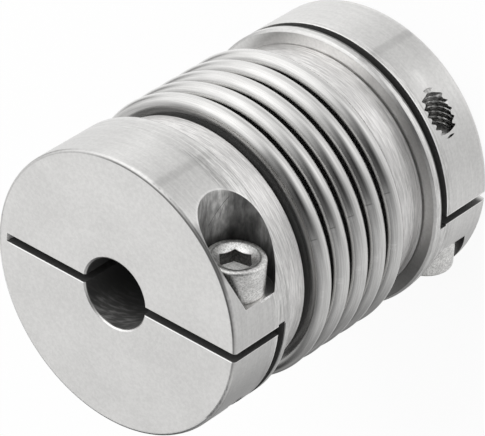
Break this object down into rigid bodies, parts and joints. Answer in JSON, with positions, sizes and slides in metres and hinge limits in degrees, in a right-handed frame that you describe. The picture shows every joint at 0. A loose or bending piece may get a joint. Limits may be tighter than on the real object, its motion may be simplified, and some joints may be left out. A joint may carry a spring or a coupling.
{
  "type": "bellows coupling",
  "caption": "Shaft coupling: slotted clamping hubs joined by a thin-walled convoluted metal bellows, with a socket head screw to close each hub.",
  "frame": {"origin": "centre of the lower hub's end face, on the shaft axis", "axes": "+Z along the shaft axis from the lower hub to the upper hub, +X towards both clamp screws, +Y towards the head of the upper hub's clamp screw"},
  "size_m": [0.0502, 0.0502, 0.0653],
  "materials": {
    "hub_steel": "fine turned stainless steel",
    "collar_steel": "stainless steel brushed round its outside",
    "bellows_steel": "smooth bright formed stainless steel",
    "screw_steel": "slightly grainy cold headed stainless steel"
  },
  "bodies": {
    "lower_half": {"lower_hub": "hub_steel", "lower_collar": "collar_steel", "lower_clamp_screw": "screw_steel"},
    "bellows_middle": {"bellows": "bellows_steel"},
    "upper_half": {"upper_hub": "hub_steel", "upper_collar": "collar_steel", "upper_clamp_screw": "screw_steel"}
  },
  "joints": [
    {"name": "bellows_bend_x", "type": "hinge", "parent": "lower_half", "child": "bellows_middle", "pos_m": [0, 0, 0.03265], "axis": [1, 0, 0], "range_deg": [-1.5, 1.5], "stiffness_Nm_per_rad": 9.5, "deforming": ["bellows"]},
    {"name": "bellows_bend_y", "type": "hinge", "parent": "bellows_middle", "child": "upper_half", "pos_m": [0, 0, 0.03265], "axis": [0, 1, 0], "range_deg": [-1.5, 1.5], "stiffness_Nm_per_rad": 9.5, "deforming": ["bellows"]}
  ]
}
